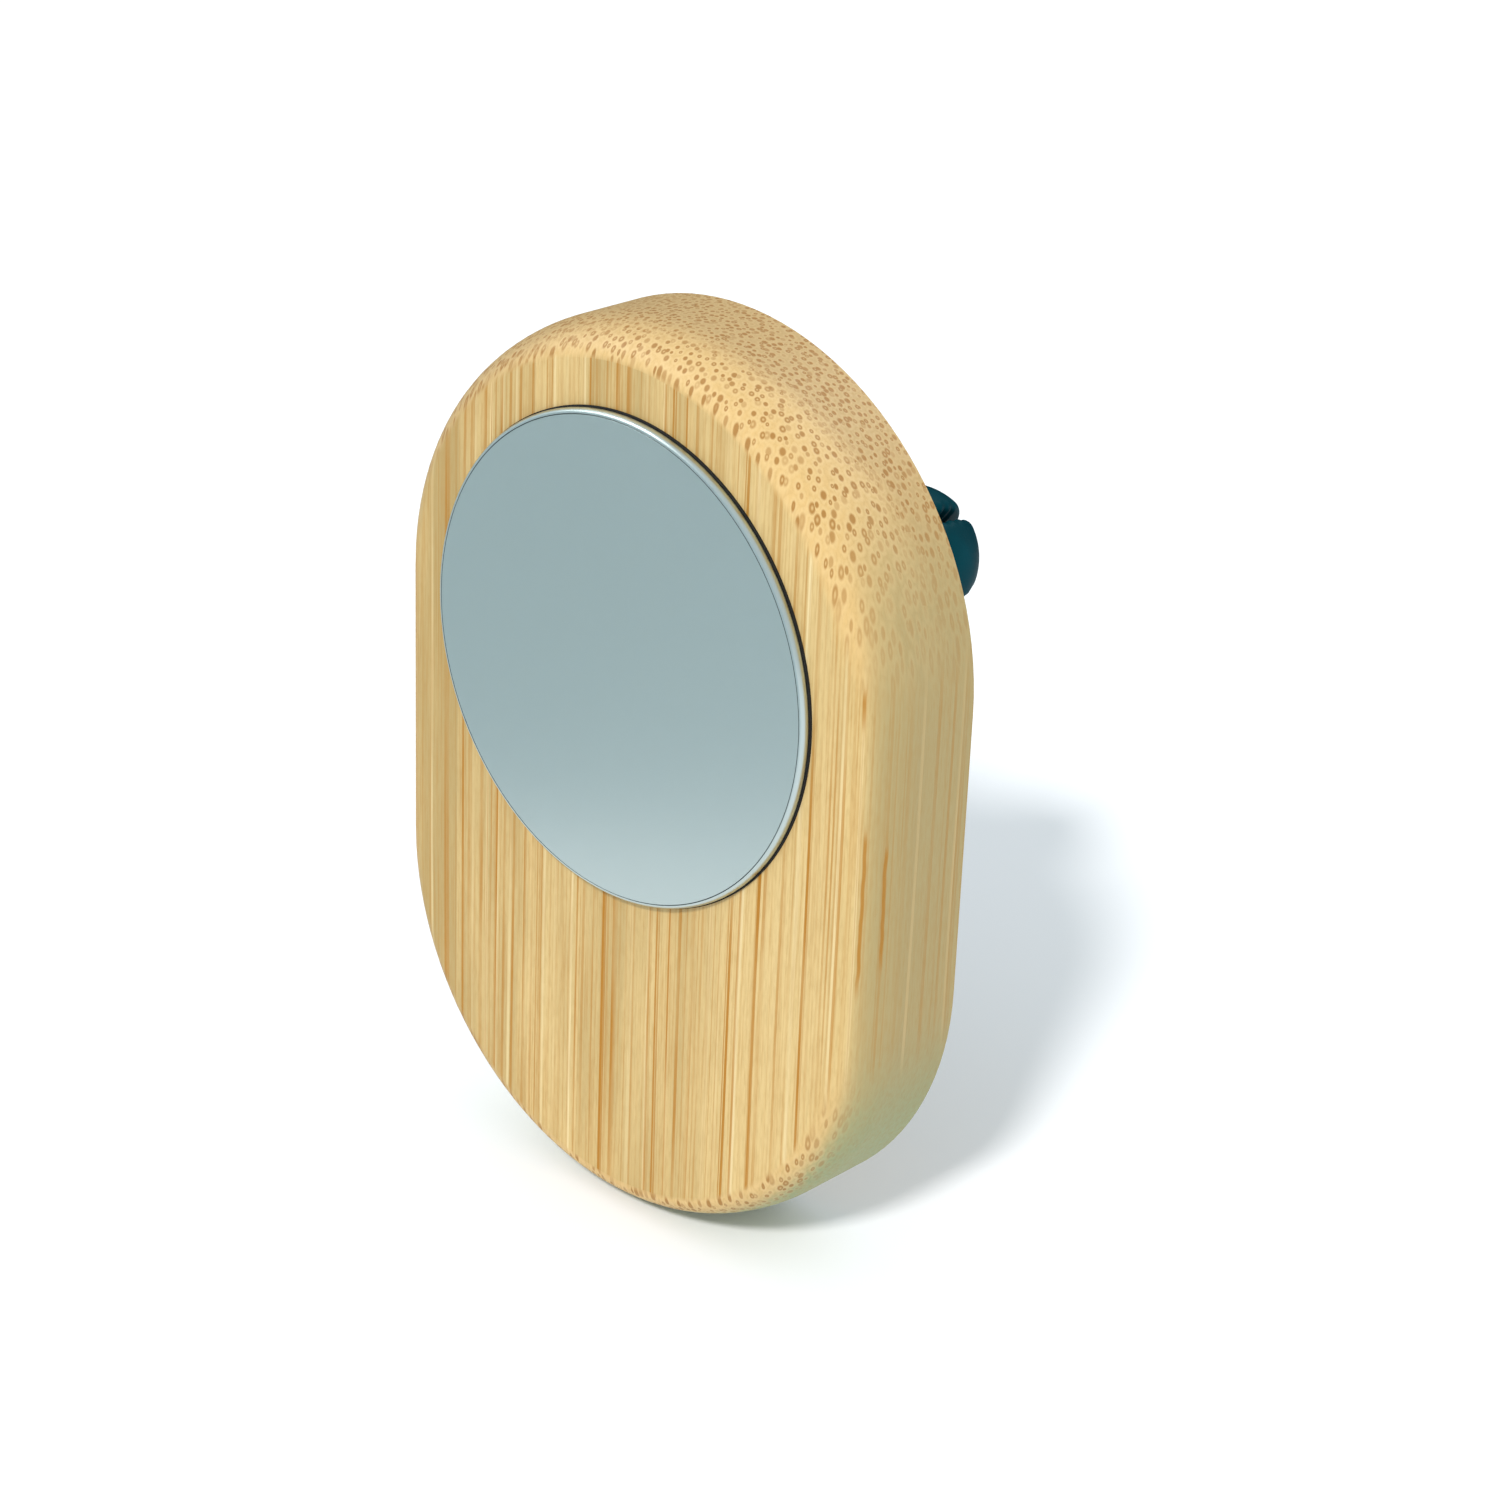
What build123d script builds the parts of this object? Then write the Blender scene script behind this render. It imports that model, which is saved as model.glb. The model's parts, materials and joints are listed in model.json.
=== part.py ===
from build123d import *
import os
from math import cos, radians, sin

# A clip-on holder: a stadium block of bamboo with a polished steel disc on its face, magnets in a
# pocket behind the disc, and a rubber vent clip on a ball joint at the back.
#
# Frame, in millimetres: +Z up, +Y backwards along the clip's axis, -Y out of the disc's face.
# The origin is the middle of the clip's crossed blade slots, where a vent blade sits.
# A sketch on the XY plane holds a profile as (radius, y), to be revolved about the Y axis.

# ---- driving dimensions ----
body_width = 40.0
body_height = 58.2
body_thickness = 9.3
edge_inset = 2.1  # the front edge is a quarter ellipse: this far in on the face
edge_depth = 4.2  # and this far back along the side
back_chamfer = 0.4
axis_above_middle = 8.65  # the disc and the clip share an axis above the body's middle

disc_radius = 15.45
disc_thickness = 0.55
disc_edge = 0.12
pad_radius = 15.55  # the black adhesive shows as a thin line round the disc
pad_thickness = 0.15

front_skin = 1.6  # bamboo left in front of the magnets
pocket_radius = 13.0
cover_radius = 16.6
cover_thickness = 2.0
cover_gap = 0.2

magnet_radius = 4.5
magnet_circle = 7.2
magnet_thickness = 3.2
tray_gap = 0.2
keeper_thickness = 0.8
foam_inner_radius = 8.0
screw_count = 4
screw_circle = 14.7
shank_radius = 0.85
shank_length = 3.4  # below the cover, before the point
screw_point = 0.7
screw_head_radius = 1.6
pilot_depth = 4.2
cross_length = 2.0
cross_width = 0.45
cross_depth = 0.55

flange_radius = 5.5
flange_thickness = 0.8
washer_thickness = 0.4
spring_inner_radius = 2.6
spring_metal = 0.25
neck_radius = 2.2
neck_beyond_cover = 0.3
neck_taper = 0.5
stem_radius = 1.7
running_gap = 0.05

ball_radius = 3.5
ball_behind_back = 4.8
seat_radius = 4.7
seat_front = 1.3  # ahead of the ball's middle
seat_back = 1.7  # behind the ball's middle
seat_split = 0.6
ring_radius = 4.0
ring_section = 0.55

thread_radius = 5.8
core_flange_radius = 6.9
socket_clearance = 0.2  # behind the ball
collar_radius = 7.5
collar_mouth = 3.3
collar_front = 1.9  # ahead of the ball's middle
collar_length = 5.0
collar_lip = 0.5
collar_front_chamfer = 0.8
collar_back_chamfer = 0.3
knurl_count = 24
knurl_radius = 0.55
knurl_outside = 0.25  # how far the knurls' centres stand outside the collar

slot_depth = 8.5
thin_slot = 0.7
thick_slot = 1.8
jaw_root_gap = 0.15
jaw_root_radius = 6.4
jaw_end_radius = 5.0  # where the taper ends and the nose begins
nose_inset = 3.3  # the nose is a quarter ellipse: this far in
nose_length = 5.1  # and this far along the axis
lip_rounding = 0.45  # along the slots' mouths
rubber_wall = 0.9
rubber_jacket = 1.6  # over the outside of a jaw's core
sleeve_radius = 7.1
sleeve_rounding = 0.5
slot_roll = 52.0  # the thin slot stands at this angle above the horizontal

# ---- stations along Y ----
slot_floor = -slot_depth / 2
jaw_tip = slot_depth / 2
ball_y = slot_floor - 7.3
back_y = ball_y - ball_behind_back
front_y = back_y - body_thickness
pad_front = front_y - pad_thickness
disc_front = pad_front - disc_thickness
magnet_front = front_y + front_skin
keeper_front = magnet_front + magnet_thickness
keeper_back = keeper_front + keeper_thickness
ledge_y = back_y - cover_thickness
flange_front = keeper_back + washer_thickness + running_gap
flange_back = flange_front + flange_thickness
collar_y = ball_y - collar_front
core_back = slot_floor - 0.2
core_front = ball_y - 1.0
shoulder_y = ball_y + 2.85
core_flange_front = collar_y + collar_length + 0.2
core_flange_back = core_flange_front + 1.0

body_middle = -axis_above_middle
half_straight = (body_height - body_width) / 2


def back_plane(y):
    """A plane across the clip's axis at y, looking backwards."""
    return Plane(origin=(0, y, 0), x_dir=(1, 0, 0), z_dir=(0, 1, 0))


def slot_plane(y):
    """A plane across the axis whose own x runs along the thin slot and y along the thick one."""
    along_thin = (cos(radians(slot_roll)), 0, sin(radians(slot_roll)))
    return Plane(origin=(0, y, 0), x_dir=along_thin, z_dir=(0, 1, 0))


def sphere_edge(radius, station):
    """The radius at which a sphere about the ball's middle crosses a station beside it."""
    return (radius**2 - station**2) ** 0.5


def ring_profile(inner, outer, low, high):
    """A rectangle in (radius, y), for a ring or a disc about the Y axis."""
    with Locations(((inner + outer) / 2, (low + high) / 2)):
        Rectangle(outer - inner, high - low)


def save(part):
    export_step(part, f"parts/{part.label}.step")


# ---- the bamboo head ----


def block_profile():
    """Half of the block's section: face, quarter ellipse, side, small back chamfer."""
    half = body_width / 2
    with BuildSketch() as profile:
        with BuildLine():
            Line((0, front_y), (half - edge_inset, front_y))
            EllipticalCenterArc(
                (half - edge_inset, front_y + edge_depth),
                edge_inset,
                edge_depth,
                start_angle=-90,
                arc_size=90,
            )
            Polyline(
                (half, front_y + edge_depth),
                (half, back_y - back_chamfer),
                (half - back_chamfer, back_y),
                (0, back_y),
                (0, front_y),
            )
        make_face()
    return profile.sketch


def make_bamboo_body():
    section = block_profile()
    with BuildPart() as bamboo:
        for end in (body_middle + half_straight, body_middle - half_straight):
            with BuildSketch(Plane.XY.offset(end)):
                add(section)
            revolve(axis=Axis((0, 0, end), (0, 1, 0)))
        with BuildSketch(Plane.XY.offset(body_middle)):
            add(section)
            mirror(about=Plane.YZ)
        extrude(amount=half_straight, both=True)
        with BuildSketch(Plane.XY):
            ring_profile(0, pocket_radius, magnet_front, back_y)
            ring_profile(0, cover_radius + cover_gap, ledge_y, back_y)
        revolve(axis=Axis.Y, mode=Mode.SUBTRACT)
        with Locations(back_plane(ledge_y)):
            with PolarLocations(screw_circle, screw_count, start_angle=45):
                Hole(shank_radius + running_gap, depth=pilot_depth)
    bamboo.part.label = "bamboo_body"
    save(bamboo.part)


def make_disc():
    with BuildPart() as disc:
        with BuildSketch(Plane.XY):
            ring_profile(0, disc_radius, disc_front, pad_front)
        revolve(axis=Axis.Y)
        rim = disc.edges().filter_by(GeomType.CIRCLE)
        fillet(rim, disc_edge)
    disc.part.label = "steel_disc"
    save(disc.part)

    with BuildPart() as pad:
        with BuildSketch(Plane.XY):
            ring_profile(0, pad_radius, pad_front, front_y)
        revolve(axis=Axis.Y)
    pad.part.label = "adhesive_pad"
    save(pad.part)


def make_magnet_stack():
    with BuildPart() as magnets:
        with BuildSketch(back_plane(magnet_front)):
            with PolarLocations(magnet_circle, 4):
                Circle(magnet_radius)
        extrude(amount=magnet_thickness)
    magnets.part.label = "magnets"
    save(magnets.part)

    with BuildPart() as tray:
        with BuildSketch(back_plane(magnet_front)):
            Circle(pocket_radius - tray_gap)
            with PolarLocations(magnet_circle, 4):
                Circle(magnet_radius + running_gap, mode=Mode.SUBTRACT)
        extrude(amount=magnet_thickness)
    tray.part.label = "magnet_tray"
    save(tray.part)

    with BuildPart() as keeper:
        with BuildSketch(Plane.XY):
            ring_profile(0, pocket_radius - tray_gap, keeper_front, keeper_back)
        revolve(axis=Axis.Y)
    keeper.part.label = "keeper_plate"
    save(keeper.part)

    with BuildPart() as foam:
        with BuildSketch(Plane.XY):
            ring_profile(foam_inner_radius, pocket_radius - tray_gap, keeper_back, ledge_y)
        revolve(axis=Axis.Y)
    foam.part.label = "foam_spacer"
    save(foam.part)


def make_rear_cover():
    with BuildPart() as cover:
        with BuildSketch(Plane.XY):
            ring_profile(neck_radius + running_gap, cover_radius, ledge_y, back_y)
        revolve(axis=Axis.Y)
        outer_edge = cover.edges().filter_by(GeomType.CIRCLE).group_by(Axis.Y)[-1]
        fillet(outer_edge, 0.3)
        with Locations(back_plane(back_y)):
            with PolarLocations(screw_circle, screw_count, start_angle=45):
                CounterSinkHole(
                    shank_radius + 0.25, screw_head_radius + 0.1, counter_sink_angle=90
                )
    cover.part.label = "rear_cover"
    save(cover.part)

    head_top = back_y - 0.05
    cone_end = head_top - (screw_head_radius - shank_radius)
    with BuildPart() as screw:
        with BuildSketch(Plane.XY):
            with BuildLine():
                Polyline(
                    (0, head_top),
                    (screw_head_radius, head_top),
                    (shank_radius, cone_end),
                    (shank_radius, ledge_y - shank_length),
                    (0, ledge_y - shank_length - screw_point),
                    (0, head_top),
                )
            make_face()
        revolve(axis=Axis.Y)
        with BuildSketch(back_plane(head_top)):
            Rectangle(cross_length, cross_width)
            Rectangle(cross_width, cross_length)
        extrude(amount=-cross_depth, mode=Mode.SUBTRACT)
    with BuildPart() as screws:
        with Locations(Plane.XZ):
            with PolarLocations(screw_circle, screw_count, start_angle=45):
                add(screw.part.moved(Location(Plane.XZ).inverse()))
    screws.part.label = "cover_screws"
    save(screws.part)


# ---- the ball joint ----


def make_stud():
    washer_radius = flange_radius - 0.1
    with BuildPart() as spring:
        with BuildSketch(Plane.XY):
            with BuildLine():
                Polyline(
                    (spring_inner_radius, keeper_back + washer_thickness - spring_metal),
                    (washer_radius, keeper_back),
                    (washer_radius, keeper_back + spring_metal),
                    (spring_inner_radius, keeper_back + washer_thickness),
                    close=True,
                )
            make_face()
        revolve(axis=Axis.Y)
    spring.part.label = "cup_spring"
    save(spring.part)

    with BuildPart() as washer:
        with BuildSketch(Plane.XY):
            ring_profile(neck_radius + 0.15, washer_radius, ledge_y - washer_thickness, ledge_y)
        revolve(axis=Axis.Y)
    washer.part.label = "friction_washer"
    save(washer.part)

    neck_end = back_y + neck_beyond_cover
    stem_end = ball_y - sphere_edge(ball_radius, stem_radius) + 0.1
    with BuildPart() as stud:
        with BuildSketch(Plane.XY):
            ring_profile(0, flange_radius, flange_front, flange_back)
            ring_profile(0, neck_radius, flange_back, neck_end)
            with BuildLine():
                Polyline(
                    (0, neck_end),
                    (neck_radius, neck_end),
                    (stem_radius, neck_end + neck_taper),
                    (stem_radius, stem_end),
                    (0, stem_end),
                    close=True,
                )
            make_face()
        revolve(axis=Axis.Y)
        with Locations((0, ball_y, 0)):
            Sphere(ball_radius)
    stud.part.label = "ball_stud"
    save(stud.part)


def make_ball_seat():
    hollow = ball_radius + running_gap
    with BuildPart() as seat:
        with BuildSketch(Plane.XY):
            with BuildLine():
                Polyline(
                    (sphere_edge(hollow, seat_front), ball_y - seat_front),
                    (seat_radius, ball_y - seat_front),
                    (seat_radius, ball_y + seat_back),
                    (sphere_edge(hollow, seat_back), ball_y + seat_back),
                )
                ThreePointArc(
                    (sphere_edge(hollow, seat_back), ball_y + seat_back),
                    (hollow, ball_y),
                    (sphere_edge(hollow, seat_front), ball_y - seat_front),
                )
            make_face()
        revolve(axis=Axis.Y)
        with Locations((seat_radius, ball_y, 0)):
            Box(2 * ball_radius, 2 * ball_radius, seat_split, mode=Mode.SUBTRACT)
    seat.part.label = "ball_seat"
    save(seat.part)

    with BuildPart() as ring:
        with BuildSketch(Plane.XY):
            with Locations((ring_radius, ball_y + seat_back + ring_section + 0.02)):
                Circle(ring_section)
        revolve(axis=Axis.Y)
    ring.part.label = "preload_ring"
    save(ring.part)


# ---- the clip ----


def make_clip_core():
    bore = seat_radius + running_gap
    hollow = ball_radius + socket_clearance
    shoulder_radius = sphere_edge(hollow, shoulder_y - ball_y)
    with BuildPart() as core:
        with BuildSketch(Plane.XY):
            ring_profile(0, thread_radius, core_front, core_back)
            ring_profile(0, core_flange_radius, core_flange_front, core_flange_back)
        revolve(axis=Axis.Y)
        with BuildSketch(Plane.XY):
            with BuildLine():
                Polyline(
                    (0, ball_y + hollow),
                    (0, core_front),
                    (bore, core_front),
                    (bore, shoulder_y),
                    (shoulder_radius, shoulder_y),
                )
                ThreePointArc(
                    (shoulder_radius, shoulder_y),
                    (shoulder_radius / 2, ball_y + sphere_edge(hollow, shoulder_radius / 2)),
                    (0, ball_y + hollow),
                )
            make_face()
        revolve(axis=Axis.Y, mode=Mode.SUBTRACT)
    core.part.label = "clip_core"
    save(core.part)

    with BuildPart() as sleeve:
        with BuildSketch(Plane.XY):
            ring_profile(thread_radius, sleeve_radius, core_flange_back, core_back)
        revolve(axis=Axis.Y)
        outside = sleeve.edges().filter_by(GeomType.CIRCLE).sort_by(SortBy.RADIUS)[-2:]
        fillet(outside, sleeve_rounding)
    sleeve.part.label = "base_sleeve"
    save(sleeve.part)


def make_collar_nut():
    collar_back = collar_y + collar_length
    with BuildPart() as collar:
        with BuildSketch(Plane.XY):
            ring_profile(collar_mouth, collar_radius, collar_y, collar_back)
        revolve(axis=Axis.Y)
        with BuildSketch(Plane.XY):
            ring_profile(0, thread_radius + running_gap, collar_y + collar_lip, collar_back)
        revolve(axis=Axis.Y, mode=Mode.SUBTRACT)
        front_edges = collar.edges().filter_by(GeomType.CIRCLE).group_by(Axis.Y)[0]
        chamfer(front_edges.sort_by(SortBy.RADIUS)[-1], collar_front_chamfer)
        back_edges = collar.edges().filter_by(GeomType.CIRCLE).group_by(Axis.Y)[-1]
        chamfer(back_edges.sort_by(SortBy.RADIUS)[-1], collar_back_chamfer)
        with BuildSketch(back_plane(collar_y)):
            with PolarLocations(collar_radius + knurl_outside, knurl_count):
                Circle(knurl_radius)
        extrude(amount=collar_length, mode=Mode.SUBTRACT)
    collar.part.label = "collar_nut"
    save(collar.part)


def jaw_blank(jacket, thin_side, thick_side, side):
    """A quarter of a tapered bullet, cut by the walls of the crossed slots.

    The jacket is how far the outline lies inside the jaw's own.
    """
    root = slot_floor + jaw_root_gap
    nose_start = jaw_tip - nose_length
    end_radius = jaw_end_radius - jacket
    inset = nose_inset - jacket
    length = nose_length - jacket
    tip = nose_start + length
    reach = 10.0
    corner = (side[0] * (thick_side + reach / 2), side[1] * (thin_side + reach / 2))
    with BuildPart() as blank:
        with BuildSketch(Plane.XY):
            with BuildLine():
                Polyline((0, root), (jaw_root_radius - jacket, root), (end_radius, nose_start))
                EllipticalCenterArc(
                    (end_radius - inset, nose_start), inset, length, start_angle=0, arc_size=90
                )
                Polyline((end_radius - inset, tip), (0, tip), (0, root))
            make_face()
        revolve(axis=Axis.Y)
        with BuildSketch(slot_plane(slot_floor - 1)):
            with Locations(corner):
                Rectangle(reach, reach)
        extrude(amount=slot_depth + 2, mode=Mode.INTERSECT)
    return blank.part


def make_jaw(name, side):
    core = jaw_blank(
        rubber_jacket, thin_slot / 2 + rubber_wall, thick_slot / 2 + rubber_wall, side
    )
    core.label = f"jaw_core_{name}"
    save(core)

    with BuildPart() as pad:
        add(jaw_blank(0, thin_slot / 2, thick_slot / 2, side))
        long_edges = pad.edges().filter_by(lambda edge: edge.length > 2)
        straight_or_round = (GeomType.LINE, GeomType.CIRCLE)
        mouths = long_edges.filter_by(lambda edge: edge.geom_type not in straight_or_round)
        fillet(mouths, lip_rounding)
        add(core, mode=Mode.SUBTRACT)
    pad.part.label = f"jaw_pad_{name}"
    save(pad.part)


os.makedirs("parts", exist_ok=True)
make_bamboo_body()
make_disc()
make_magnet_stack()
make_rear_cover()
make_stud()
make_ball_seat()
make_clip_core()
make_collar_nut()
for name, side in (("right", (1, 1)), ("top", (1, -1)), ("left", (-1, -1)), ("bottom", (-1, 1))):
    make_jaw(name, side)
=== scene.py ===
import json
from math import atan2, cos, pi, radians, sin, sqrt

import bmesh
import bpy
from mathutils import Matrix, Vector


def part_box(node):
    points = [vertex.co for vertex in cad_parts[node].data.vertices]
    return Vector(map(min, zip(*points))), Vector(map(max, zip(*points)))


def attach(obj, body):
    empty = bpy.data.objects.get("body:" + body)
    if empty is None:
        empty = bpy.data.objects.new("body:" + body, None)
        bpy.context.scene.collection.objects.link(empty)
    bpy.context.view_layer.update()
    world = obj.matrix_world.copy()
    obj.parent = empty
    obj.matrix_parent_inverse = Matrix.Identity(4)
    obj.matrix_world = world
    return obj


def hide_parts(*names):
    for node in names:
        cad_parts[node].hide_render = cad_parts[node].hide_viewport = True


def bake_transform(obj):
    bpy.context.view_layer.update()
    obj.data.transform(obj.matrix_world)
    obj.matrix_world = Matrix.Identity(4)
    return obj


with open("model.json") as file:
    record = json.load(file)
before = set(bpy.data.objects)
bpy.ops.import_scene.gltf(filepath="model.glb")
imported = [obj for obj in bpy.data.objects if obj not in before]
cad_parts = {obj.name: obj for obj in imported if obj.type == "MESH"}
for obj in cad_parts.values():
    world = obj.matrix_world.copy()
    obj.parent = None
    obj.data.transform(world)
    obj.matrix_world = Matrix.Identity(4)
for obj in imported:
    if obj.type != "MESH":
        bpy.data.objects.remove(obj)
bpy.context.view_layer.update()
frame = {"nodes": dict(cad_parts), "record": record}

MM = 0.001

# The clip holder: a bamboo block with a polished disc on its face, and a rubber vent clip on a ball
# joint behind it. +Z is up, -Y is out of the disc, +X is to the viewer's right.

body_low, body_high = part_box("bamboo_body")
disc_low, disc_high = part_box("steel_disc")
floor_height = body_low.z

# the sizes of shapes and of the materials' patterns are in millimetres, from here on
face_y = body_low.y / MM
half_width = body_high.x / MM
middle_z = (body_low.z + body_high.z) / 2 / MM
disc_radius = disc_high.x / MM


# ---- small helpers for node materials ----


def srgb(red, green, blue):
    """Display values from 0 to 255, as the linear colour that a shader takes."""
    linear = []
    for value in (red, green, blue):
        value = value / 255
        linear.append(value / 12.92 if value <= 0.04045 else ((value + 0.055) / 1.055) ** 2.4)
    return (*linear, 1.0)


class Shader:
    """One node material. Each method adds a node and returns its output socket."""

    def __init__(self, name, **surface):
        self.material = bpy.data.materials.new(name)
        self.material.use_nodes = True
        self.tree = self.material.node_tree
        self.surface = self.tree.nodes["Principled BSDF"]
        for socket, value in surface.items():
            self.surface.inputs[socket.replace("_", " ")].default_value = value
        place = self.add("ShaderNodeTexCoord").outputs["Object"]
        self.mm = self.scaled(place, 1000)

    def add(self, kind, **settings):
        node = self.tree.nodes.new(kind)
        for name, value in settings.items():
            setattr(node, name, value)
        return node

    def plug(self, node, **sockets):
        for name, value in sockets.items():
            socket = node.inputs[name.replace("_", " ")]
            if isinstance(value, bpy.types.NodeSocket):
                self.tree.links.new(value, socket)
            else:
                socket.default_value = value
        return node

    def scaled(self, vector, factor):
        node = self.add("ShaderNodeVectorMath", operation="SCALE")
        self.tree.links.new(vector, node.inputs[0])
        node.inputs["Scale"].default_value = factor
        return node.outputs[0]

    def split(self, vector):
        node = self.plug(self.add("ShaderNodeSeparateXYZ"), Vector=vector)
        return node.outputs["X"], node.outputs["Y"], node.outputs["Z"]

    def join(self, x, y, z):
        node = self.plug(self.add("ShaderNodeCombineXYZ"), X=x, Y=y, Z=z)
        return node.outputs[0]

    def math(self, operation, *values, clamp=False):
        node = self.add("ShaderNodeMath", operation=operation, use_clamp=clamp)
        for socket, value in zip(node.inputs, values):
            if isinstance(value, bpy.types.NodeSocket):
                self.tree.links.new(value, socket)
            else:
                socket.default_value = value
        return node.outputs[0]

    def step(self, value, start, end, low=0.0, high=1.0):
        """Goes smoothly from low at start to high at end."""
        node = self.add("ShaderNodeMapRange", interpolation_type="SMOOTHSTEP")
        self.plug(node, Value=value, From_Min=start, From_Max=end, To_Min=low, To_Max=high)
        return node.outputs[0]

    def noise(self, place, scale, detail):
        node = self.add("ShaderNodeTexNoise")
        self.plug(node, Vector=place, Scale=scale, Detail=detail, Roughness=0.5)
        return node.outputs["Fac"]

    def product(self, *values):
        result = values[0]
        for value in values[1:]:
            result = self.math("MULTIPLY", result, value)
        return result

    def stretched(self, x, y, z, squeeze):
        """A place whose pattern is drawn out along Z, as wood fibres are."""
        return self.join(x, y, self.math("MULTIPLY", z, squeeze))

    def wavering(self, value, field, reach):
        """The value moved to and fro by a noise field, by up to half of reach to each side."""
        return self.math("MULTIPLY_ADD", self.math("SUBTRACT", field, 0.5), reach, value)

    def cells(self, place, flat=True, randomness=1.0):
        """A Voronoi field of unit cells: the distance to the nearest point, and its colour."""
        node = self.add("ShaderNodeTexVoronoi", voronoi_dimensions="2D" if flat else "3D")
        self.plug(node, Vector=place, Scale=1.0, Randomness=randomness)
        return node.outputs["Distance"], node.outputs["Color"]

    def rows(self, place):
        """The same in one dimension: points strewn along a line."""
        node = self.add("ShaderNodeTexVoronoi", voronoi_dimensions="1D")
        self.plug(node, W=place, Scale=1.0)
        return node.outputs["Distance"], node.outputs["Color"]

    def channels(self, colour):
        node = self.plug(self.add("ShaderNodeSeparateColor"), Color=colour)
        return node.outputs[0], node.outputs[1], node.outputs[2]

    def mix(self, amount, first, second):
        node = self.add("ShaderNodeMix", data_type="RGBA")
        for name, value in (("Factor", amount), ("A", first), ("B", second)):
            sockets = [s for s in node.inputs if s.name == name and s.enabled]
            if isinstance(value, bpy.types.NodeSocket):
                self.tree.links.new(value, sockets[0])
            else:
                sockets[0].default_value = value
        return [s for s in node.outputs if s.enabled][0]

    def bump(self, height, depth_mm):
        """Height from 0 to 1 stands for depth_mm of relief."""
        node = self.add("ShaderNodeBump")
        self.plug(node, Height=height, Distance=depth_mm * MM, Strength=1.0)
        self.tree.links.new(node.outputs[0], self.surface.inputs["Normal"])

    def colour(self, value):
        self.plug(self.surface, Base_Color=value)

    def rough(self, value):
        self.plug(self.surface, Roughness=value)


# ---- bamboo ----

tan_wood = (170, 145, 92)
pale_wood = (204, 177, 121)
end_wood = (203, 170, 112)
skin_wood = (182, 152, 100)
# the sides' colour: partly the edge grain's own greyer colour, partly painted shade of sides turned
# from the light
side_wood_and_shade = (164, 146, 99)
# painted shade and painted floor bounce for the lower end
olive_shade_and_floor_bounce = (144, 154, 111)
fleck_wood = (166, 134, 80)
halo_wood = (216, 188, 136)
cream_line = (222, 204, 156)
orange_line = (162, 106, 0)
bundle_brown = (142, 90, 0)

# spacing, half width, start of the pattern, and the chance from which a line starts to show: each
# line has its own chance from 0 to 1, so with a start below 0 all of them show
strong_lines = (0.98, 0.115, 3.7, -0.8)
thin_lines = (0.47, 0.07, 17.3, -0.2)
pale_lines = (1.1, 0.14, 41.1, 0.15)
least_line_share = 0.6  # a line is this to this plus one, of its set's half width
thin_strength, hair_strength = 0.75, 0.30

edge_streaks = ((20.0, -16.5, -4.2), (21.7, -15.5, -5.2), (19.4, 0.2, 4.6))  # place, low, high
streak_strength = 0.85
streak_reach, streak_core = 0.22, 0.08
streak_fade_low, streak_fade_high = 3.0, 1.5

round_the_edge = 0.9  # how fast the lines' pattern goes on from the face into the side
back_shift = 57.3  # the back face's lines come from another stretch of the pattern

# size of a cell, radius of a dot, and start of the pattern
sparse_bundles = (0.50, 0.215, 5.3)
close_bundles = (0.43, 0.20, 23.8)
smallest_share = 0.6  # a bundle is this to twice this, of its set's radius
core_share, halo_share = 0.5, 2.1
skin_start, skin_end = 1.8, 4.6  # depth behind the face over which the bundles crowd together

strip_width, strip_start = 4.6, 7.9
grain_relief = 0.012


def fibre_lines(shader, x, z):
    """Lines along Z, as a face sawn along the fibres shows them: how dark and how pale it is."""
    x = shader.wavering(x, shader.noise(shader.stretched(x, 0.0, z, 0.25), 0.09, detail=1.0), 0.9)
    fade = shader.noise(shader.stretched(x, 0.0, z, 0.07), 0.9, detail=1.0)
    fade = shader.step(fade, 0.30, 0.62, 0.35, 1.0)
    busy = shader.noise(shader.join(x, 0.0, 0.0), 0.33, detail=0.0)
    fade = shader.product(fade, shader.step(busy, 0.38, 0.52, 0.6, 1.0))

    def lines(spacing, half_width_mm, start, least):
        place = shader.math("ADD", shader.math("DIVIDE", x, spacing), start)
        distance, colour = shader.rows(place)
        chance, width, _ = shader.channels(colour)
        usual = half_width_mm / spacing
        reach = shader.math("MULTIPLY_ADD", width, usual, least_line_share * usual)
        mask = shader.step(distance, reach, shader.product(reach, 0.55))
        return shader.product(mask, shader.step(chance, least, 1.0, 0.0, 1.0), fade)

    hair = shader.noise(shader.stretched(x, 0.0, z, 0.02), 5.5, detail=1.0)
    hair = shader.product(shader.step(hair, 0.45, 0.72), hair_strength)
    thin = shader.product(lines(*thin_lines), thin_strength)
    dark = shader.math("MAXIMUM", lines(*strong_lines), thin)
    return shader.math("MAXIMUM", dark, hair), lines(*pale_lines)


def streak(shader, x, z, place, low, high):
    """One short dark streak along Z, which wavers a little and fades at both ends."""
    waver = shader.noise(shader.join(0.0, place, z), 0.35, detail=1.0)
    aside = shader.math("SUBTRACT", shader.wavering(x, waver, 0.5), place)
    mask = shader.step(shader.math("ABSOLUTE", aside), streak_reach, streak_core)
    low_end = shader.step(z, low, low + streak_fade_low)
    high_end = shader.step(z, high, high - streak_fade_high)
    return shader.product(mask, low_end, high_end, streak_strength)


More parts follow.
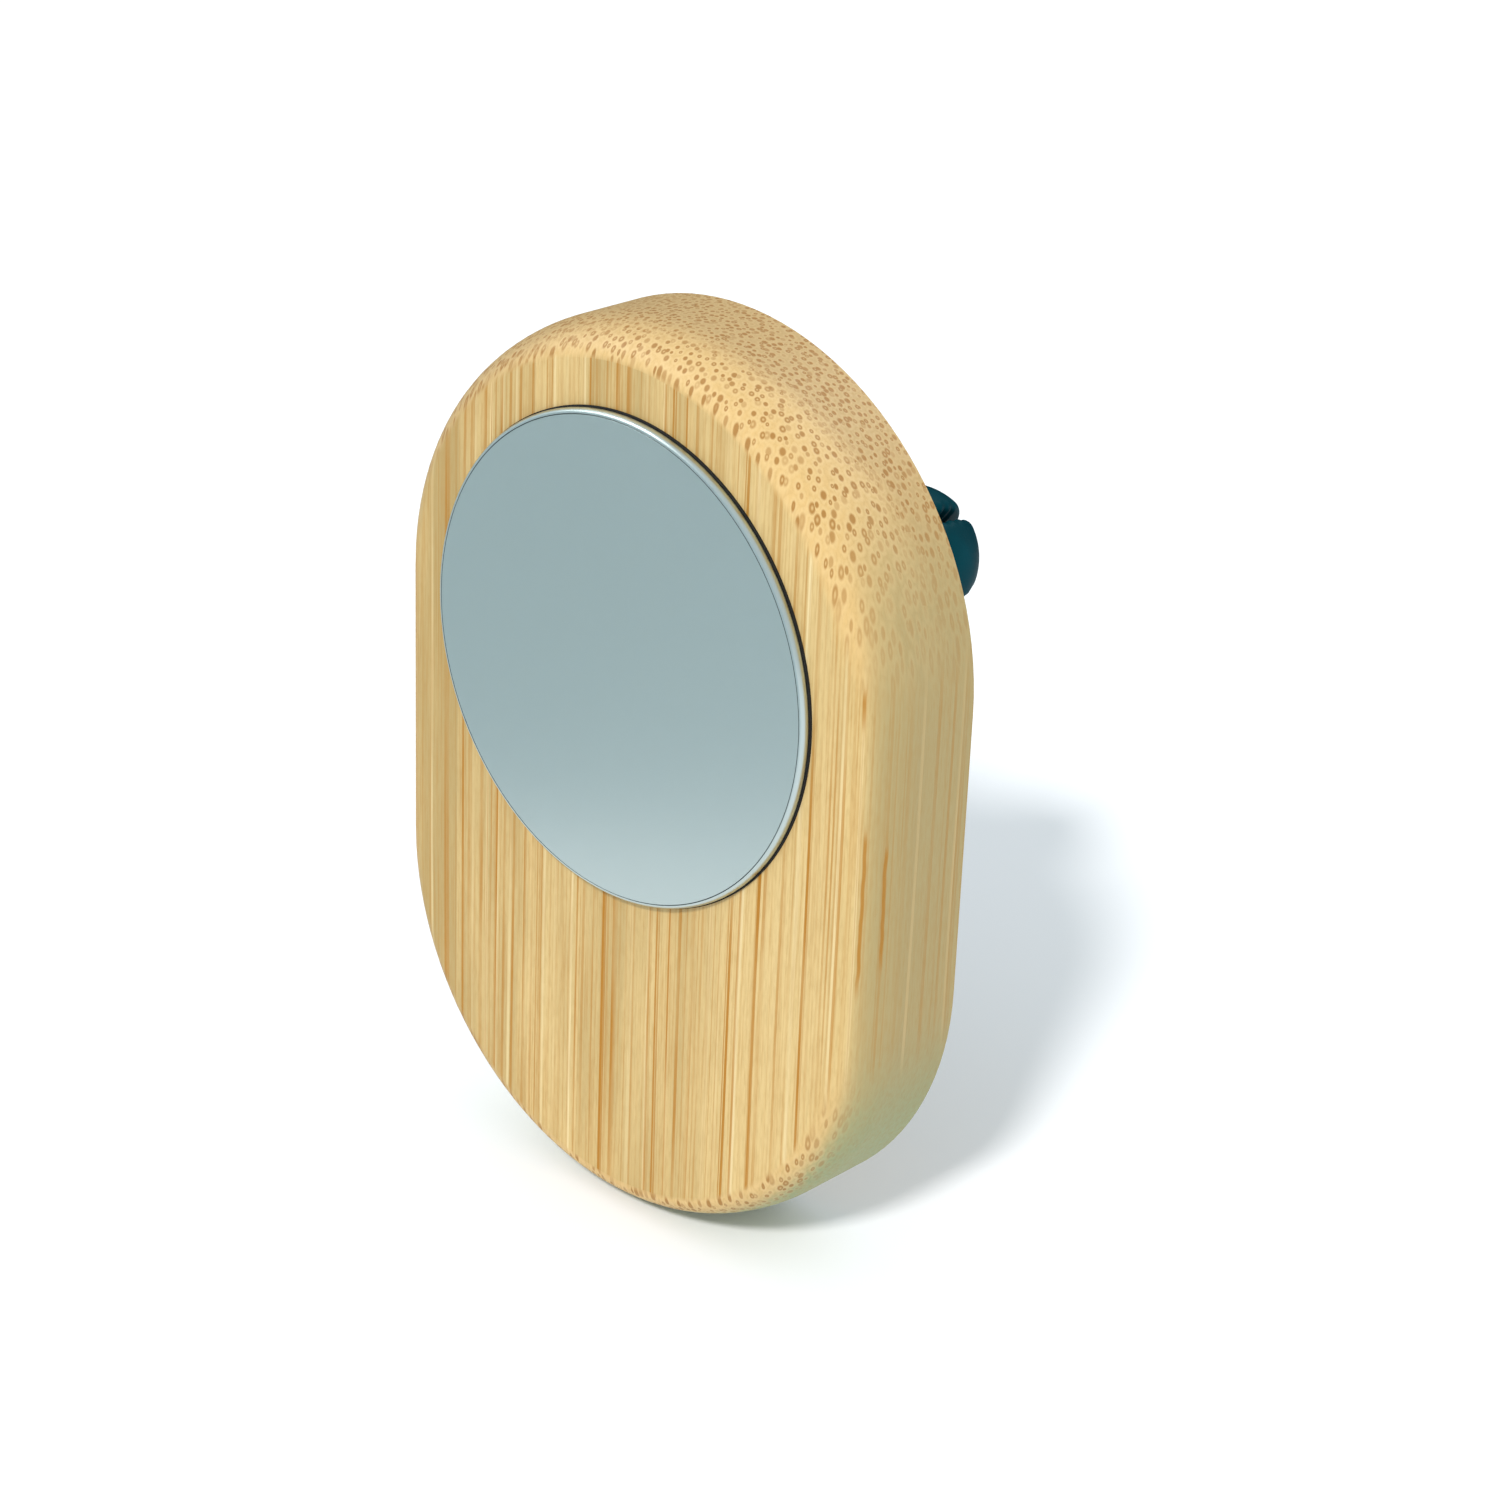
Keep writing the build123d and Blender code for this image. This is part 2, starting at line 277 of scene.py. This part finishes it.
def bundle_dots(shader, x, y, cell, radius, start):
    """Vascular bundles cut across: round marks on irregular places, some with a pale middle.
    Also the wider and paler halo round each."""
    place = shader.join(
        shader.math("ADD", shader.math("DIVIDE", x, cell), start),
        shader.math("ADD", shader.math("DIVIDE", y, cell), start),
        0.0,
    )
    distance, colour = shader.cells(place, randomness=0.85)
    chance, ring, size = shader.channels(colour)
    smallest = smallest_share * radius / cell
    reach = shader.math("MULTIPLY_ADD", size, smallest, smallest)
    core = shader.product(reach, core_share)
    pale_middle = shader.step(ring, 0.35, 0.65, 0.0, 0.8)
    middle = shader.product(shader.step(distance, core, 0.0), pale_middle)
    dot = shader.math("SUBTRACT", shader.step(distance, reach, core), middle, clamp=True)
    halo = shader.step(distance, shader.product(reach, halo_share), reach)
    return shader.product(dot, shader.step(chance, 0.0, 0.5, 0.45, 1.0)), halo


def bundle_field(shader, x, y, z, depth, cut_across):
    """The bundles on surfaces across the fibres: their dots, their halos, and how crowded they are.
    They are small and crowded towards the culm's skin, larger and sparser away from it."""
    wavering_x = shader.wavering(x, shader.noise(shader.mm, 0.05, detail=1.0), 0.8)
    crowd = shader.math("MULTIPLY_ADD", x, -0.22, y)
    unevenly = shader.noise(shader.mm, 0.12, detail=2.0)
    crowd = shader.math("MULTIPLY_ADD", unevenly, 2.4, crowd)
    crowd = shader.step(crowd, face_y + skin_start, face_y + skin_end)
    sparse_dots, sparse_halo = bundle_dots(shader, wavering_x, y, *sparse_bundles)
    close_dots, close_halo = bundle_dots(shader, wavering_x, y, *close_bundles)
    dots = shader.mix(crowd, sparse_dots, close_dots)
    halo = shader.mix(crowd, sparse_halo, shader.product(close_halo, 0.5))

    # fainter at both sides, and on the lower end only near the face
    outwards = shader.math("ABSOLUTE", x)
    fainter = shader.step(outwards, half_width - 5.0, half_width - 0.6, 1.0, 0.35)
    low_end = shader.step(z, middle_z, middle_z - 9.0)
    inward = shader.product(low_end, shader.step(depth, 0.9, 2.6))
    inward = shader.math("MULTIPLY_ADD", inward, -0.75, 1.0)
    shown = shader.product(cut_across, fainter, inward)
    return shader.product(dots, shown), shader.product(halo, shown), crowd


def bamboo_material():
    """Laminated bamboo. The fibres run along Z, so a face along them shows lines, and a surface
    across them shows the bundles as dots."""
    shader = Shader("bamboo", Specular_IOR_Level=0.35)
    x, y, z = shader.split(shader.mm)
    facing = shader.add("ShaderNodeTexCoord").outputs["Normal"]
    facing_aside, facing_back, facing_up = shader.split(facing)
    cut_across = shader.step(shader.math("ABSOLUTE", facing_up), 0.05, 0.26)
    along = shader.math("SUBTRACT", 1.0, cut_across)
    on_side = shader.step(shader.math("ABSOLUTE", facing_aside), 0.72, 0.97)
    on_back = shader.math("GREATER_THAN", facing_back, 0.4)

    # a line's place is counted round the block, from the front face over its straight edges
    depth = shader.math("SUBTRACT", y, face_y)
    not_back = shader.math("SUBTRACT", 1.0, on_back)
    turned = shader.product(shader.math("SIGN", x), depth, not_back)
    around = shader.math("MULTIPLY_ADD", turned, round_the_edge, x)
    around = shader.math("MULTIPLY_ADD", on_back, back_shift, around)
    dark, pale = fibre_lines(shader, around, z)
    strength = shader.product(along, shader.math("MULTIPLY_ADD", on_side, -0.55, 1.0))
    line_dark = shader.product(dark, strength)
    line_pale = shader.product(pale, strength)
    for place, low_end, high_end in edge_streaks:
        mark = streak(shader, around, z, place, low_end, high_end)
        line_dark = shader.math("MAXIMUM", line_dark, mark)

    dots, halo, crowd = bundle_field(shader, x, y, z, depth, cut_across)

    # strips of slightly different wood, each a few millimetres wide; over them the face is paler
    # towards the right, a painted pool of light from the right, and paler near the left edge
    _, strip = shader.rows(shader.math("MULTIPLY_ADD", x, 1 / strip_width, strip_start))
    strip_tone, _, _ = shader.channels(strip)
    cloud = shader.noise(shader.stretched(x, y, z, 0.12), 0.55, detail=3.0)
    tone = shader.math("ADD", shader.product(strip_tone, 0.45), shader.product(cloud, 0.75))
    # painted light: the face paler towards the right, as if lit from the right
    tone = shader.math("ADD", tone, shader.step(x, 2.0, 15.0, -0.04, 0.32))
    tone = shader.math("ADD", tone, shader.step(x, -16.0, -19.6, 0.0, 0.34))
    base = shader.mix(shader.step(tone, 0.30, 0.90), srgb(*tan_wood), srgb(*pale_wood))
    end_base = shader.mix(crowd, srgb(*end_wood), srgb(*skin_wood))
    base = shader.mix(cut_across, base, end_base)
    # painted shade: the sides are darker and greyer than the face, partly the edge grain's own
    # colour
    base = shader.mix(shader.product(on_side, 0.9), base, srgb(*side_wood_and_shade))

    # painted shade and a painted greenish bounce from the floor, as an olive colour on the lower
    # end, behind the front edge and not on the back
    low = shader.step(z, middle_z - 9.0, middle_z - 21.0)
    off_front = shader.step(depth, 0.3, 1.9)
    off_back = shader.step(facing_back, 0.3, 0.9, 1.0, 0.0)
    base = shader.mix(shader.product(low, off_front, off_back), base, srgb(*olive_shade_and_floor_bounce))
    fleck = shader.noise(shader.stretched(x, y, z, 0.15), 7.0, detail=3.0)
    base = shader.mix(shader.step(fleck, 0.35, 0.8, 0.0, 0.35), base, srgb(*fleck_wood))

    colour = shader.mix(shader.product(halo, 0.35), base, srgb(*halo_wood))
    colour = shader.mix(shader.product(line_pale, 0.9), colour, srgb(*cream_line))
    colour = shader.mix(shader.product(line_dark, 0.97), colour, srgb(*orange_line))
    colour = shader.mix(shader.product(dots, 0.78), colour, srgb(*bundle_brown))
    shader.colour(colour)
    shader.rough(shader.step(fleck, 0.3, 0.8, 0.52, 0.66))
    hollows = shader.math("MAXIMUM", dots, shader.product(line_dark, 0.4))
    height = shader.math("SUBTRACT", 1.0, hollows)
    shader.bump(shader.math("MULTIPLY_ADD", fleck, 0.25, height), grain_relief)
    return shader.material


# ---- metals, plastics and rubber ----

metal_drift = 0.985  # the darker tone, as a share of the tint
metal_grain, metal_relief = 0.2, 0.0008
# colour of the painted shade in the groove by the disc's edge
painted_groove_shade = (0.10, 0.125, 0.125)
moulded_unevenness = 0.06
foam_cell, foam_relief = 0.12, 0.03


def polished_material(name, tint, roughness):
    """Bright polished metal: a very slow drift of tone, and painted shade, a dark ring of colour,
    in the groove by the edge.
    """
    shader = Shader(name, Metallic=1.0, Roughness=roughness)
    cloud = shader.noise(shader.mm, 1 / 25.0, detail=0.0)
    darker = tuple(value * metal_drift for value in tint)
    colour = shader.mix(cloud, (*darker, 1.0), (*tint, 1.0))
    x, _, z = shader.split(shader.mm)
    squares = shader.math("ADD", shader.product(x, x), shader.product(z, z))
    groove_radius = disc_radius - groove_inset - groove_width / 2
    from_groove = shader.math("SUBTRACT", shader.math("SQRT", squares), groove_radius)
    # painted shade: the groove's ring is coloured dark
    from_groove = shader.math("ABSOLUTE", from_groove)
    groove_shade_mask = shader.step(from_groove, groove_width * 0.6, groove_width * 0.4)
    shader.colour(shader.mix(groove_shade_mask, colour, (*painted_groove_shade, 1.0)))
    return shader.material


def metal_material(name, tint, roughness, unevenness=0.04):
    """Plated or blackened metal with a fine grain."""
    shader = Shader(name, Metallic=1.0)
    cloud = shader.noise(shader.mm, 1 / 6.0, detail=2.0)
    grain = shader.noise(shader.mm, 1 / metal_grain, detail=2.0)
    darker = tuple(value * metal_drift for value in tint)
    shader.colour(shader.mix(shader.step(cloud, 0.3, 0.7), (*darker, 1.0), (*tint, 1.0)))
    uneven = shader.math("ADD", shader.product(cloud, 0.6), shader.product(grain, 0.4))
    shader.rough(shader.step(uneven, 0.3, 0.7, roughness - unevenness, roughness + unevenness))
    shader.bump(grain, metal_relief)
    return shader.material


def moulded_material(name, colour, roughness, grain_mm, grain_depth, **surface):
    """Moulded plastic or rubber: a fine spark-eroded grain and slightly uneven gloss."""
    shader = Shader(name, **surface)
    distance, _ = shader.cells(shader.scaled(shader.mm, 1 / grain_mm), flat=False)
    cloud = shader.noise(shader.mm, 0.35, detail=3.0)
    lighter = tuple(min(1.0, value * 1.35 + 0.0004) for value in colour)
    shader.colour(shader.mix(shader.step(cloud, 0.3, 0.75), (*colour, 1.0), (*lighter, 1.0)))
    low, high = roughness - moulded_unevenness, roughness + moulded_unevenness
    shader.rough(shader.step(cloud, 0.25, 0.75, low, high))
    shader.bump(distance, grain_depth)
    return shader.material


def foam_material(name, colour):
    """Closed-cell foam, with painted shade darkening the pits of its cells."""
    shader = Shader(name, Roughness=0.95, Specular_IOR_Level=0.2)
    distance, _ = shader.cells(shader.scaled(shader.mm, 1 / foam_cell), flat=False)
    # painted shade: the pits of the cells are coloured darker
    shaded_pit = tuple(value * 0.4 for value in colour)
    shader.colour(shader.mix(shader.step(distance, 0.1, 0.5), (*shaded_pit, 1.0), (*colour, 1.0)))
    shader.bump(distance, foam_relief)
    return shader.material


def slot_materials():
    """One finish for each material slot of the record."""
    return {
        "bamboo": bamboo_material(),
        "polished_steel": polished_material("polished_steel", (0.52, 0.595, 0.585), 0.28),
        "nickel_plate": metal_material("nickel_plate", (0.62, 0.60, 0.56), 0.22),
        "zinc_plate": metal_material("zinc_plate", (0.55, 0.56, 0.58), 0.38, unevenness=0.08),
        "screw_steel": metal_material("screw_steel", (0.10, 0.10, 0.105), 0.42),
        "stud_steel": metal_material("stud_steel", (0.60, 0.60, 0.60), 0.16),
        "adhesive": foam_material("adhesive", (0.02, 0.02, 0.02)),
        "foam": foam_material("foam", (0.05, 0.05, 0.05)),
        "inner_plastic": moulded_material(
            "inner_plastic", (0.70, 0.69, 0.64), 0.45, grain_mm=0.25, grain_depth=0.004
        ),
        "nylon": moulded_material(
            "nylon",
            (0.76, 0.74, 0.67),
            0.40,
            grain_mm=0.30,
            grain_depth=0.003,
            Subsurface_Weight=0.15,
            Subsurface_Scale=0.001,
        ),
        "black_plastic": moulded_material(
            "black_plastic",
            (0.006, 0.016, 0.019),
            0.42,
            grain_mm=0.16,
            grain_depth=0.008,
            Specular_IOR_Level=0.3,
        ),
        "black_rubber": moulded_material(
            "black_rubber",
            (0.0003, 0.034, 0.046),
            0.50,
            grain_mm=0.22,
            grain_depth=0.004,
            Specular_IOR_Level=0.02,
        ),
    }


def dress_nodes(materials):
    """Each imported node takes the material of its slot."""
    for subpart in frame["record"]["subparts"]:
        node = frame["nodes"][subpart["node"]]
        node.data.materials.clear()
        node.data.materials.append(materials[subpart["material_slot"]])


# ---- meshes ----


def add_piece(name, points, faces, material, sharp_degrees=35):
    """A mesh object from points in millimetres, smooth except across sharp edges."""
    mesh = bpy.data.meshes.new(name)
    mesh.from_pydata([Vector(point) * MM for point in points], [], faces)
    work = bmesh.new()
    work.from_mesh(mesh)
    bmesh.ops.recalc_face_normals(work, faces=work.faces)
    work.to_mesh(mesh)
    work.free()
    mesh.polygons.foreach_set("use_smooth", [True] * len(mesh.polygons))
    mesh.set_sharp_from_angle(angle=radians(sharp_degrees))
    mesh.materials.append(material)
    piece = bpy.data.objects.new(name, mesh)
    bpy.context.scene.collection.objects.link(piece)
    return piece


def loft(rings):
    """Points and faces of a closed skin over equally long rings, with both ends filled."""
    count = len(rings[0])
    points = [point for ring in rings for point in ring]
    faces = []
    for level in range(len(rings) - 1):
        base = level * count
        for k in range(count):
            after = (k + 1) % count
            faces.append((base + k, base + after, base + count + after, base + count + k))
    faces.append(tuple(range(count)))
    faces.append(tuple(range(len(points) - count, len(points))))
    return points, faces


def arc(centre, radius, start, end, steps):
    """Points of an arc in the plane, both ends included; angles in radians."""
    angles = [start + (end - start) * k / steps for k in range(steps + 1)]
    return [(centre[0] + radius * cos(a), centre[1] + radius * sin(a)) for a in angles]


def lathe(profile, segments):
    """Rings of (radius, y) pairs turned about the Y axis."""
    turns = [2 * pi * k / segments for k in range(segments)]
    return [[(radius * cos(a), y, radius * sin(a)) for a in turns] for radius, y in profile]


# ---- the disc ----

disc_segments = 288
back_rounding, back_steps = 0.1, 6
front_rounding, front_steps = (0.28, 0.42), 12  # along the face, and along the wall
# the steel's colour is darkened in this groove as painted shade
groove_inset, groove_width, groove_sink = 0.29, 0.06, 0.03  # a fine line turned inside the edge
flat_margin = 0.6  # a ring of the face beside the edge, which keeps the middle's shading flat
middle_radius = 0.4  # the face inside it is one flat polygon
pad_overhang = 0.08  # the black adhesive shows as a thin line round the disc


def make_disc(steel, adhesive):
    """The polished disc and the adhesive pad under it."""
    front, back = disc_low.y / MM, disc_high.y / MM
    flat_edge = disc_radius - flat_margin
    back_edge = disc_radius - back_rounding
    profile = [(middle_radius, back), (flat_edge, back), (back_edge, back)]
    centre = (back_edge, back - back_rounding)
    profile += arc(centre, back_rounding, pi / 2, 0, back_steps)[1:]
    inset, drop = front_rounding
    for across, down in arc((0, 0), 1, 0, -pi / 2, front_steps):
        profile.append((disc_radius - inset * (1 - across), front + drop * (1 + down)))
    groove_out = disc_radius - groove_inset
    profile += [(groove_out, front), (groove_out - groove_width / 2, front + groove_sink)]
    profile += [(groove_out - groove_width, front), (flat_edge, front), (middle_radius, front)]
    disc = add_piece("disc", *loft(lathe(profile, disc_segments)), steel)
    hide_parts("steel_disc")
    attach(disc, "head")

    edge = disc_radius + pad_overhang
    profile = [(middle_radius, face_y), (edge, face_y), (edge, back), (middle_radius, back)]
    pad = add_piece("pad", *loft(lathe(profile, disc_segments)), adhesive)
    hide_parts("adhesive_pad")
    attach(pad, "head")


# ---- the rubber jaws ----

slot_roll = radians(52)  # the thin slot stands at this angle above the horizontal
thin_slot, thick_slot = 0.7, 1.8
root_y = -4.1
neck_bottom_y = -4.75  # inside the base sleeve
waist_y = -4.3
tip_y = 4.25
waist_radius, root_radius, end_radius = 6.1, 6.4, 5.0
nose_inset, nose_length = 3.3, 5.1
lip_rounding = 0.5
tip_rounding = 0.22
groove_depth, groove_pitch = 0.13, 0.95
first_groove_y, last_groove_y = -3.2, 2.5
station_gap = 0.07
corner_share = 0.7  # of the largest corner that fits
corner_steps, outer_steps = 6, 14


def jaw_radius(y):
    """The outer radius: a waist where the jaw bends, a long taper, then an elliptical nose."""
    nose_start = tip_y - nose_length
    if y < root_y:
        bulge = sin(pi / 2 * (y - waist_y) / (root_y - waist_y))
        return waist_radius + (root_radius - waist_radius) * max(0.0, bulge)
    if y < nose_start:
        return root_radius + (end_radius - root_radius) * (y - root_y) / (nose_start - root_y)
    along = min(1.0, (y - nose_start) / nose_length)
    return end_radius - nose_inset + nose_inset * sqrt(1 - along**2)


def groove(y):
    """How far the slots' walls are cut back by the grip grooves at this height."""
    if not first_groove_y < y < last_groove_y:
        return 0.0
    turn = 2 * pi * (y - first_groove_y) / groove_pitch
    return groove_depth * (1 - cos(turn)) / 2


def jaw_section(y):
    """The outline of a jaw at y, as (u, v) along the thin and the thick slot, corners rounded."""
    into_tip = max(0.0, y - (tip_y - tip_rounding))
    shrink = tip_rounding - sqrt(max(0.0, tip_rounding**2 - into_tip**2))
    outer = jaw_radius(y) - shrink
    u_wall = thick_slot / 2 + groove(y) + shrink
    v_wall = thin_slot / 2 + groove(y) + shrink
    total = u_wall + v_wall + outer
    largest = sqrt(total**2 + outer**2 - u_wall**2 - v_wall**2) - total
    corner = min(lip_rounding, corner_share * largest)
    inner = (u_wall + corner, v_wall + corner)
    along_u = (sqrt((outer - corner) ** 2 - inner[1] ** 2), inner[1])
    along_v = (inner[0], sqrt((outer - corner) ** 2 - inner[0] ** 2))
    low = atan2(along_u[1], along_u[0])
    high = atan2(along_v[1], along_v[0])
    outline = arc(along_u, corner, -pi / 2, low, corner_steps)
    outline += arc((0, 0), outer, low, high, outer_steps)[1:-1]
    outline += arc(along_v, corner, high, pi, corner_steps)
    outline += arc(inner, corner, pi, 3 * pi / 2, corner_steps)
    return outline


def make_jaw(name, u_side, v_side, material):
    """One rubber jaw, from its neck in the base sleeve to its tip."""
    along_u = Vector((cos(slot_roll), 0, sin(slot_roll)))
    along_v = Vector((sin(slot_roll), 0, -cos(slot_roll)))
    count = round((tip_y - neck_bottom_y) / station_gap)
    rings = []
    for k in range(count + 1):
        y = neck_bottom_y + (tip_y - neck_bottom_y) * k / count
        ring = [u * u_side * along_u + v * v_side * along_v for u, v in jaw_section(y)]
        rings.append([point + Vector((0, y, 0)) for point in ring])
    jaw = add_piece(f"jaw_{name}_rubber", *loft(rings), material, sharp_degrees=60)
    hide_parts(f"jaw_pad_{name}")
    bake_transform(jaw)


# ---- stage, light and camera ----

camera_azimuth = radians(42.51)
camera_elevation = radians(24.31)
camera_roll = radians(2.37)
camera_distance = 204.66 * MM
camera_target = Vector((10.79, -25.65, -2.23)) * MM
focal_in_frame_widths = 2.350667
sensor_width = 36.0

# the floor, the lights and the cards have their sizes and distances in metres
floor_radius = 4.0
light_target = Vector((0, -0.02, -0.01))
white = (1.0, 1.0, 1.0)
sky_colour, sky_strength = (0.92, 0.985, 1.01), 0.83
backdrop_strength = 1.1


def direction(azimuth, elevation):
    """A unit vector: azimuth 0 points along -Y and grows towards +X."""
    return Vector((sin(azimuth) * cos(elevation), -cos(azimuth) * cos(elevation), sin(elevation)))


def make_camera():
    data = bpy.data.cameras.new("camera")
    data.sensor_width = sensor_width
    data.lens = focal_in_frame_widths * sensor_width
    data.clip_start = 0.005
    data.clip_end = 20.0
    camera = bpy.data.objects.new("camera", data)
    back = direction(camera_azimuth, camera_elevation)
    level_right = (-back).cross(Vector((0, 0, 1))).normalized()
    level_up = level_right.cross(-back)
    right = cos(camera_roll) * level_right + sin(camera_roll) * level_up
    up = -sin(camera_roll) * level_right + cos(camera_roll) * level_up
    turn = Matrix((right, up, back)).transposed().to_4x4()
    camera.matrix_world = Matrix.Translation(camera_target + camera_distance * back) @ turn
    bpy.context.scene.collection.objects.link(camera)
    bpy.context.scene.camera = camera


def make_floor():
    bpy.ops.mesh.primitive_circle_add(
        vertices=96, radius=floor_radius, fill_type="NGON", location=(0, 0, floor_height)
    )
    floor = bpy.context.object
    floor.name = "floor"
    shader = Shader("floor_paper", Roughness=0.9, Specular_IOR_Level=0.1)
    cloud = shader.noise(shader.mm, 0.02, detail=2.0)
    shader.colour(shader.mix(cloud, (0.885, 0.905, 0.93, 1.0), (0.895, 0.915, 0.94, 1.0)))
    floor.data.materials.append(shader.material)


def place_light(name, data, towards, distance):
    """A light on the given side of the holder, which points at its middle."""
    light = bpy.data.objects.new(name, data)
    light.location = light_target + distance * towards
    light.rotation_euler = towards.to_track_quat("Z", "Y").to_euler()
    bpy.context.scene.collection.objects.link(light)
    return light


def area_light(name, azimuth, elevation, distance, size, power, colour):
    data = bpy.data.lights.new(name, "AREA")
    data.shape = "DISK"
    data.size = size
    data.energy = power
    data.color = colour
    towards = direction(radians(azimuth), radians(elevation))
    return place_light(name, data, towards, distance)


def sun_light(name, azimuth, elevation, strength, width, colour):
    """A key light from so far away that it lights the whole floor evenly; width in degrees."""
    data = bpy.data.lights.new(name, "SUN")
    data.energy = strength
    data.angle = radians(width)
    data.color = colour
    towards = direction(radians(azimuth), radians(elevation))
    return place_light(name, data, towards, 0.0)


def make_world():
    """An even sky gives the soft light. Seen straight on, past the floor, it is plain white."""
    world = bpy.data.worlds.new("studio")
    world.use_nodes = True
    tree = world.node_tree
    sky = tree.nodes["Background"]
    sky.inputs["Color"].default_value = (*sky_colour, 1.0)
    sky.inputs["Strength"].default_value = sky_strength
    backdrop = tree.nodes.new("ShaderNodeBackground")
    backdrop.inputs["Color"].default_value = (*white, 1.0)
    backdrop.inputs["Strength"].default_value = backdrop_strength
    choice = tree.nodes.new("ShaderNodeMixShader")
    seen = tree.nodes.new("ShaderNodeLightPath").outputs["Is Camera Ray"]
    tree.links.new(seen, choice.inputs["Fac"])
    tree.links.new(sky.outputs[0], choice.inputs[1])
    tree.links.new(backdrop.outputs[0], choice.inputs[2])
    tree.links.new(choice.outputs[0], tree.nodes["World Output"].inputs["Surface"])
    bpy.context.scene.world = world
    bpy.context.scene.view_settings.view_transform = "Standard"


def make_lights():
    key = sun_light("key", 23, 42.2, strength=2.32, width=7.6, colour=(1.0, 0.97, 0.95))
    key.visible_glossy = False
    window = area_light(
        "window", -57, 41, distance=1.2, size=0.5, power=10, colour=(1.0, 0.99, 0.97)
    )
    window.visible_diffuse = False
    rim = area_light("rim", 170, 48, distance=1.0, size=0.6, power=5, colour=white)
    rim.visible_diffuse = False


def reflection_card(name, azimuth, distance, width, height, colour):
    """A card that only the glossy surfaces see, as a photographer's flag shapes a reflection."""
    ahead = direction(radians(azimuth), 0.0)
    aside = ahead.cross(Vector((0, 0, 1)))
    foot = Vector((0, disc_low.y, floor_height)) + distance * ahead
    corners = [foot - aside * width / 2, foot + aside * width / 2]
    corners += [corner + Vector((0, 0, height)) for corner in reversed(corners)]
    mesh = bpy.data.meshes.new(name)
    mesh.from_pydata([tuple(corner) for corner in corners], [], [(0, 1, 2, 3)])
    card = bpy.data.objects.new(name, mesh)
    bpy.context.scene.collection.objects.link(card)
    shader = Shader(name, Roughness=0.9, Specular_IOR_Level=0.0)
    darker = tuple(value * 0.97 for value in colour)
    cloud = shader.noise(shader.mm, 0.03, detail=2.0)
    shader.colour(shader.mix(cloud, (*darker, 1.0), (*colour, 1.0)))
    card.data.materials.append(shader.material)
    for ray in ("camera", "diffuse", "transmission", "volume_scatter", "shadow"):
        setattr(card, f"visible_{ray}", False)


def make_cards():
    pale, dark = (0.70, 0.79, 0.83), (0.01, 0.012, 0.012)
    reflection_card("card_left", -42.5, distance=0.054, width=0.30, height=0.12, colour=pale)
    reflection_card("card_back", 222, distance=0.14, width=0.30, height=0.10, colour=dark)


make_camera()
make_floor()
make_world()
make_lights()
make_cards()
materials = slot_materials()
dress_nodes(materials)
make_disc(materials["polished_steel"], materials["adhesive"])
jaw_sides = {"right": (1, 1), "top": (1, -1), "left": (-1, -1), "bottom": (-1, 1)}
for name, (u_side, v_side) in jaw_sides.items():
    make_jaw(name, u_side, v_side, materials["black_rubber"])
